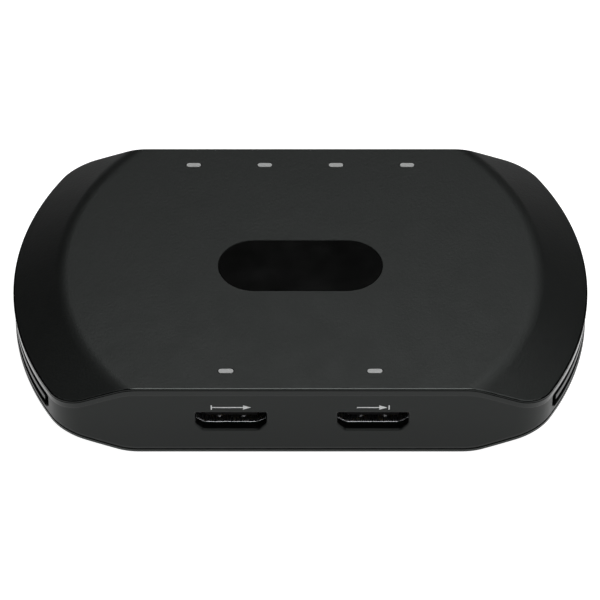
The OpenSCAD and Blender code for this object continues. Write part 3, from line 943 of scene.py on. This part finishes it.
    def foot_cut(self, place: Place) -> Solid:
        """Stepped hole for a foot, a screw head and its shank, as one turned profile."""
        shank = self.screw_width + 2 * self.screw_play
        profile = [(self.foot_width, -PAST), (self.foot_width, self.foot_depth),
                   (self.head_width, self.foot_depth), (self.head_width, self.head_seat),
                   (shank, self.head_seat), (shank, self.boss_top + PAST)]
        return tower([(circle(width), z) for width, z in profile], *place)


@dataclass
class SideVents:
    """Long louvred slots in the two end arcs."""

    form: HousingForm
    book: FinishBook
    corner_margin: float = 0.9
    above: float = 0.26
    below: float = 0.45
    upper_corner: float = 0.6
    lower_corner: float = 2.1
    corner_steps: int = 17
    run_steps: int = 61
    lip: float = 0.12
    louvre: float = 1.3
    louvre_front: float = 0.22
    louvre_clear: float = 0.3
    louvre_short: float = 1.9
    louvre_round: float = 0.12
    louvre_round_steps: int = 4
    louvre_steps: int = 81
    web_front: float = 1.1
    web_width: float = 1.4
    web_sink: float = 0.3
    web_places: tuple[float, ...] = (-0.75, -0.25, 0.25, 0.75)

    def __post_init__(self) -> None:
        """Work out the slot's heights and reach from the wall between the two bevels."""
        form = self.form
        face = np.array([form.width / 2, 0.0])
        roof = float(form.outer(face, Side.UP))
        self.top = roof - form.cover_rim - form.seam - form.bevel - self.above
        self.bottom = float(form.outer(face, Side.DOWN)) + form.wall_lift + self.below
        self.middle = (self.top + self.bottom) / 2
        self.half = (form.corner_angle - self.corner_margin / form.end_radius) * form.end_radius

    def on_arc(self, along: Array, z: Array, inset: Array) -> Array:
        """Bend flat values onto the right end.

        Args:
            along: Arc length from the middle of the end, at the outer face.
            z: Height.
            inset: Distance behind the outer face.

        Returns:
            Points, (..., 3).
        """
        turn = along / self.form.end_radius
        r = self.form.end_radius - inset
        x = r * np.cos(turn) - self.form.end_offset
        return np.stack(np.broadcast_arrays(x, r * np.sin(turn), z), axis=-1)

    def reach(self, along: Array, corner: float) -> Array:
        """Height of the slot above or below its middle.

        With e the distance past the start of a rounded corner, it is h - c + sqrt(c^2 - e^2), where
        h is the half height of the slot's straight part and c the radius of that corner.

        Args:
            along: Arc length from the middle of the end, (n,).
            corner: Radius of the corner.

        Returns:
            The height, (n, 1).
        """
        past_start = np.clip(np.abs(along) - self.half + corner, 0, corner)
        straight = (self.top - self.bottom) / 2 - corner
        return (straight + np.sqrt(corner ** 2 - past_start ** 2))[:, None]

    def cuts(self) -> list[Solid]:
        """The two slots: a section flared at the face, carried along the arc."""
        turn = np.linspace(0, math.pi / 2, self.corner_steps)
        end = self.half - self.lower_corner * (1 - np.sin(turn))
        run = np.linspace(-end[0], end[0], self.run_steps)[1:-1]
        along = np.concatenate([-end[::-1], run, end])
        deep = self.form.face_in + self.lip
        inset = np.array([-PROUD, deep, self.form.wall + PAST])
        grow = np.array([deep + PROUD, 0.0, 0.0])
        rise = np.concatenate([-self.reach(along, self.lower_corner) - grow,
                               (self.reach(along, self.upper_corner) + grow)[:, ::-1]], axis=1)
        behind = np.concatenate([inset, inset[::-1]])
        slot = Solid.stack(self.on_arc(along[:, None], self.middle + rise, behind[None, :]))
        return [slot, slot.mirrored()]

    def louvres(self) -> None:
        """A thin bar along each slot: a rounded section carried along the arc, on four webs."""
        half = self.half - self.louvre_short
        front, back = self.louvre_front, self.form.wall - self.louvre_clear
        low, high = self.middle - self.louvre / 2, self.middle + self.louvre / 2
        section = rounded_polygon(oblong(front, low, back, high), self.louvre_round,
                                  self.louvre_round_steps)
        along = np.linspace(-half, half, self.louvre_steps)[:, None]
        solids = [Solid.stack(self.on_arc(along, section[None, :, 1], section[None, :, 0]))]
        box = oblong(self.web_front, self.bottom - self.web_sink, back, self.top + self.web_sink)
        for place in self.web_places:
            ends = place * half + np.array([-0.5, 0.5])[:, None] * self.web_width
            solids.append(Solid.stack(self.on_arc(ends, box[None, :, 1], box[None, :, 0])))
        one = Solid.joined(solids)
        piece = Solid.joined([one, one.mirrored()]).piece("vent_louvres", self.form)
        self.book.seat(piece, Finish.FRAME, "frame")


@dataclass
class FrontSockets:
    """The two video sockets: their windows, shells and the marks over them."""

    form: HousingForm
    book: FinishBook
    width: float = 15.1
    height: float = 5.3
    sill: float = 0.45
    sleeve_width: float = 15.9
    foot_width: float = 11.7
    shoulder: float = 0.95
    corner: float = 0.5
    gap: float = 0.04
    lip: float = 0.55
    lip_turn: tuple[float, float] = (12.0, 90.0)
    lip_steps: int = 8
    mark_lift: float = 4.45
    mark_height: float = 1.3
    mark_stroke: float = 0.26
    mark_head: float = 1.7
    mark_out: float = 8.6
    mark_in: float = 7.0
    ink: float = 0.03
    sheet: float = 0.4
    sheet_round: float = 0.18
    set_back: float = 0.8
    seam_width: float = 0.18
    seam_depth: float = 0.28
    dimple_pitch: float = 5.2
    dimple_back: float = 2.4
    dimple_width: float = 1.8
    dimple_height: float = 0.56
    dimple_power: float = 1.2
    dimple_shares: tuple[float, ...] = (1.0, 1.0, 0.9, 0.75, 0.55, 0.3, 0.1)
    dimple_steps: int = 24

    def __post_init__(self) -> None:
        """Find the middle of each socket from its shell."""
        self.places = {port: self.form.middle(f"video_{port.value}_shell") for port in Port}

    def outline(self, width: float, sill: float, grow: float) -> Array:
        """Outline of a socket: a bar whose lower corners are cut off.

        Args:
            width: Width of the bar.
            sill: How far its lower side is raised.
            grow: Margin added all round.

        Returns:
            Points, (n, 2).
        """
        w, top, foot = width / 2 + grow, self.height / 2 + grow, self.foot_width / 2 + grow
        step, low = sill - self.shoulder, sill - top
        corners = [(-w, top), (-w, step), (-foot, low), (foot, low), (w, step), (w, top)]
        return rounded_polygon(corners, self.corner + grow / 2)

    def cuts(self) -> list[Solid]:
        """A window for each socket, with a round edge at the wall's face.

        At a turn a the round lies r (1 - cos a) behind the face, and r (1 - sin a) outside the
        window.
        """
        face = -self.form.wall_face
        turn = np.radians(np.linspace(*self.lip_turn, self.lip_steps))
        behind, outside = self.lip * (1 - np.cos(turn)), self.gap + self.lip * (1 - np.sin(turn))
        depths = [(face - PROUD, outside[0]), *zip(face + behind, outside),
                  (face + self.form.wall + PAST, self.gap)]
        edges = [(self.outline(self.width, self.sill, grow), y) for y, grow in depths]
        return [passage(edges, x, z) for x, z in self.places.values()]

    def dimple(self, x: float, y: float, z: float) -> Solid:
        """A low cone pressed from the sheet: at a share s of its radius, 1 - s^p of its height."""
        share = np.array(self.dimple_shares)
        rise = self.dimple_height * (1 - share ** self.dimple_power)
        rise[0] = -self.sheet / 2
        return tower([(circle(self.dimple_width * s, self.dimple_steps), z + r)
                      for s, r in zip(share, rise)], x, y)

    def sleeve(self, port: Port) -> None:
        """Folded shell of a socket: the sheet's rounded section, carried round the outline."""
        node = f"video_{port.value}_shell"
        x, z = self.places[port]
        low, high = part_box(node)
        front, back = low.y / MM + self.set_back, high.y / MM
        corners = [(front, -self.sheet), (front, 0), (back, 0), (back, -self.sheet)]
        section = rounded_polygon(corners, self.sheet_round)
        rows = [upright(self.outline(self.sleeve_width, 0.0, grow), x, y, z) for y, grow in section]
        piece = Solid.grid(np.stack(rows), True).piece(f"video_{port.value}_sleeve", self.form)
        floor = z - self.height / 2 + self.sheet
        dimples = [self.dimple(x + side * self.dimple_pitch / 2, front + self.dimple_back, floor)
                   for side in (-1, 1)]
        combine(piece, dimples, self.form, Work.ADD)
        w, d = self.seam_width / 2, self.seam_depth
        notch = oblong(-w, -d, w, d)
        seam = passage([(notch, front - PAST), (notch, back + PAST)], x, floor)
        combine(piece, [seam], self.form, Work.CUT)
        self.book.seat(piece, Finish.SHELL, "shell", node)

    def mark(self, port: Port) -> list[Solid]:
        """A plain arrow with a bar, printed on the wall, which leaves the bar or runs into it."""
        x, z = self.places[port]
        face, h, s = -self.form.wall_face, self.mark_height / 2, self.mark_stroke / 2
        if port is Port.OUT:
            half = self.mark_out / 2
            start, stop, bar_x = -half + 2 * s, half, -half + s
        else:
            half = self.mark_in / 2
            start, stop, bar_x = -half, half - 4 * s, half - s
        neck = stop - self.mark_head
        shapes = (oblong(start, -s, neck, s), np.array([(neck, -h), (stop, 0), (neck, h)]),
                  oblong(bar_x - s, -h, bar_x + s, h))
        z += self.mark_lift
        return [passage([(shape, face - self.ink), (shape, face + 2 * self.ink)], x, z)
                for shape in shapes]

    def marks(self) -> None:
        """The printed arrows over both sockets."""
        arrows = Solid.joined(shape for port in Port for shape in self.mark(port))
        piece = arrows.piece("port_marks", self.form)
        self.book.seat(piece, Finish.INK, "frame")

    def dress(self, nodes: Nodes) -> None:
        """Make the shells and give the inserts and contacts their finishes."""
        for port in Port:
            self.sleeve(port)
            self.book.coat_nodes(nodes, {Finish.INSERT: [f"video_{port.value}_insert"],
                                         Finish.CONTACT: [f"video_{port.value}_contacts"]})


@dataclass
class RearSockets:
    """Power, data and sound sockets and the reset pinhole in the rear wall."""

    form: HousingForm
    book: FinishBook
    gap: float = 0.16
    lip: float = 0.15
    power_nose: float = 6.2
    sound_nose: float = 5.0
    data_corner: float = 1.5
    pinhole: float = 1.6

    def window(self, inner: Array, flared: Array, node: str) -> Solid:
        """A hole through the rear wall about the middle of a node, flared at the wall's face."""
        face = self.form.wall_face
        back = face - self.form.wall - PAST
        return passage([(inner, back), (inner, face - self.lip), (flared, face + PROUD)],
                       *self.form.middle(node))

    def cuts(self) -> list[Solid]:
        """Every hole in the rear wall."""
        low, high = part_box("data_shell")
        w, h = (high.x - low.x) / 2 / MM + self.gap, (high.z - low.z) / 2 / MM + self.gap
        flare = self.lip + PROUD
        slot, wide = (rounded_polygon(oblong(-w - grow, -h - grow, w + grow, h + grow),
                                      self.data_corner + grow) for grow in (0.0, flare))
        sound, power = self.sound_nose + 2 * self.gap, self.power_nose + 2 * self.gap
        bores = {"sound_in_jack": sound, "sound_out_jack": sound, "power_jack": power,
                 "reset_button": self.pinhole}
        holes = [self.window(circle(bore), circle(bore + 2 * flare), node)
                 for node, bore in bores.items()]
        return [self.window(slot, wide, "data_shell"), *holes]

    def dress(self, nodes: Nodes) -> None:
        """Give the rear sockets and the reset switch their finishes."""
        self.book.coat_nodes(nodes, {
            Finish.SHELL: ["data_shell"],
            Finish.INSERT: ["data_insert"],
            Finish.JACK: ["sound_in_jack", "sound_out_jack", "power_jack", "reset_switch"],
            Finish.PIN: ["power_pin"],
            Finish.BUTTON: ["reset_button"],
        })


@dataclass
class Fittings:
    """Inlay, light guides, board, chips, cooling, screws and feet."""

    book: FinishBook

    def dress(self, nodes: Nodes) -> None:
        """Give every remaining node its finish."""
        self.book.coat_nodes(nodes, {
            Finish.INLAY: ["gloss_inlay"],
            Finish.LIGHT_GUIDE: ["front_light_guides", "rear_light_guides"],
            Finish.EMITTER: ["light_emitters"],
            Finish.BOARD: ["main_board"],
            Finish.CHIP: ["processor", "memory_chips", "video_chips"],
            Finish.COIL: ["power_coils"],
            Finish.PAD: ["thermal_pad"],
            Finish.SINK: ["heat_sink"],
            Finish.SCREW: ["board_screws", "case_screws"],
            Finish.FOOT: ["rubber_feet"],
        })


@dataclass(frozen=True)
class Softbox:
    """A rectangular lamp, in metres and degrees, that faces the middle of the box."""

    name: str
    azimuth: float
    elevation: float
    radiance: float
    distance: float = 0.80
    width: float = 0.30
    height: float = 0.30

    def build(self) -> None:
        """Hang the lamp: azimuth 0 is behind the box, and positive turns to its right."""
        lamp = bpy.data.lights.new(self.name, "AREA")
        lamp.shape = "RECTANGLE"
        lamp.size, lamp.size_y = self.width, self.height
        lamp.energy = self.radiance * math.pi * self.width * self.height
        hung = placed(self.name, lamp)
        turn, rise = math.radians(self.azimuth), math.radians(self.elevation)
        flat = self.distance * math.cos(rise)
        hung.location = (flat * math.sin(turn), flat * math.cos(turn),
                         self.distance * math.sin(rise))
        hung.rotation_euler = (math.radians(90) - rise, 0, math.pi - turn)
        hung.visible_camera = False


@dataclass
class Studio:
    """White floor and horizon, soft lamps and the camera. The floor and the clip are in metres."""

    form: HousingForm
    elevation: float = 44.10
    distance: float = 893.8
    aim_x: float = -0.09
    aim_y: float = 9.0
    focal_pixels: float = 3988.0
    image_pixels: float = 600.0
    sensor: float = 36.0
    clip: float = 20.0
    floor_size: float = 8.0
    floor_steps: int = 64
    floor_rings: int = 9
    floor_glow: float = 0.97
    floor_shade: float = 0.5
    floor_tone: float = 0.8
    horizon_top: float = 0.03
    sky: float = 0.03
    lamps: tuple[Softbox, ...] = (
        Softbox("overhead_box", 0.0, 62.0, 10.2),
        Softbox("overhead_side", 38.0, 56.0, 4.2),
        Softbox("right_box", 72.0, 55.0, 4.2),
        Softbox("left_box", -66.0, 54.0, 1.7),
        Softbox("front_box", 166.0, 48.0, 2.5, 1.40, 0.90, 0.80),
        Softbox("front_side", 122.0, 10.0, 2.5, 1.40, 0.50, 0.30),
    )

    def camera(self) -> None:
        """Set the camera at the photograph's angle, distance and focal length."""
        lens = bpy.data.cameras.new("camera")
        lens.sensor_width = self.sensor
        lens.lens = self.focal_pixels / self.image_pixels * self.sensor
        lens.clip_end = self.clip
        eye = placed("camera", lens)
        rise = math.radians(self.elevation)
        eye.location = (self.aim_x * MM, (self.aim_y - self.distance * math.cos(rise)) * MM,
                        (self.distance * math.sin(rise) + self.form.foot) * MM)
        eye.rotation_euler = (math.radians(90) - rise, 0, 0)
        bpy.context.scene.camera = eye

    def floor(self) -> None:
        """A pale level disc, in rings, that shows as white and keeps a faint shadow."""
        share = np.linspace(1.0, 0.0, self.floor_rings)[:, None, None]
        rings = share * circle(self.floor_size, self.floor_steps)
        disc = Solid.grid(raised(rings, np.zeros(rings.shape[:2])), False)
        mesh = bpy.data.meshes.new("floor")
        mesh.from_pydata(disc.points.tolist(), [], disc.faces)
        mesh.materials.append(self.floor_material())
        sheet = placed("floor", mesh)

    def floor_material(self) -> bpy.types.Material:
        """Dull white that adds its own glow for what the camera, gloss and glass see of it."""
        material = bpy.data.materials.new("floor_white")
        graph = NodeGraph(material)
        graph.tree.nodes.clear()
        path = graph.add("LightPath").outputs
        seen = path["Is Camera Ray"]
        for ray in ("Is Glossy Ray", "Is Transmission Ray"):
            seen = graph.add("Math", {0: seen, 1: path[ray]}, operation="MAXIMUM").outputs[0]
        dull, faint = (graph.add("BsdfDiffuse", {"Color": (*[tone] * 3, 1)}).outputs[0]
                       for tone in (self.floor_tone, self.floor_shade * self.floor_tone))
        glow = graph.add("Emission", {"Strength": self.floor_glow}).outputs[0]
        lit = graph.add("AddShader", {0: faint, 1: glow}).outputs[0]
        mix = graph.add("MixShader", {"Fac": seen, 1: dull, 2: lit}).outputs[0]
        graph.add("OutputMaterial", {"Surface": mix})
        return material

    def world(self) -> None:
        """A dim sky over a white horizon: from 1 at the horizon to sky above horizon_top."""
        world = bpy.data.worlds.new("studio")
        graph = NodeGraph(world)
        split = graph.add("SeparateXYZ", {0: graph.add("TexCoord").outputs["Generated"]})
        fade = graph.add("MapRange", {
            "Value": split.outputs["Z"], "From Min": 0.0, "From Max": self.horizon_top,
            "To Min": 1.0, "To Max": self.sky}, interpolation_type="SMOOTHSTEP")
        background = graph.tree.nodes["Background"].inputs
        graph.feed(background["Strength"], fade.outputs["Result"])
        graph.feed(background["Color"], (1, 1, 1, 1))
        bpy.context.scene.world = world

    def build(self) -> None:
        """Set up everything that isn't part of the box."""
        bpy.context.scene.view_settings.view_transform = "Standard"
        self.camera()
        self.floor()
        self.world()
        for lamp in self.lamps:
            lamp.build()


def main() -> None:
    """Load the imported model, build and dress every sub-assembly and set up the studio."""
    logging.basicConfig(level=logging.INFO, format="%(name)s: %(message)s")
    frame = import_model()
    nodes = frame["nodes"]
    form = HousingForm.from_frame()
    book = FinishBook()
    Studio(form).build()
    vents = SideVents(form, book)
    front = FrontSockets(form, book)
    rear = RearSockets(form, book)
    housing = Housing(form, book)
    housing.cover()
    housing.band(front.cuts() + rear.cuts() + vents.cuts())
    housing.base()
    vents.louvres()
    front.marks()
    front.dress(nodes)
    rear.dress(nodes)
    Fittings(book).dress(nodes)


if __name__ == "__main__":
    main()
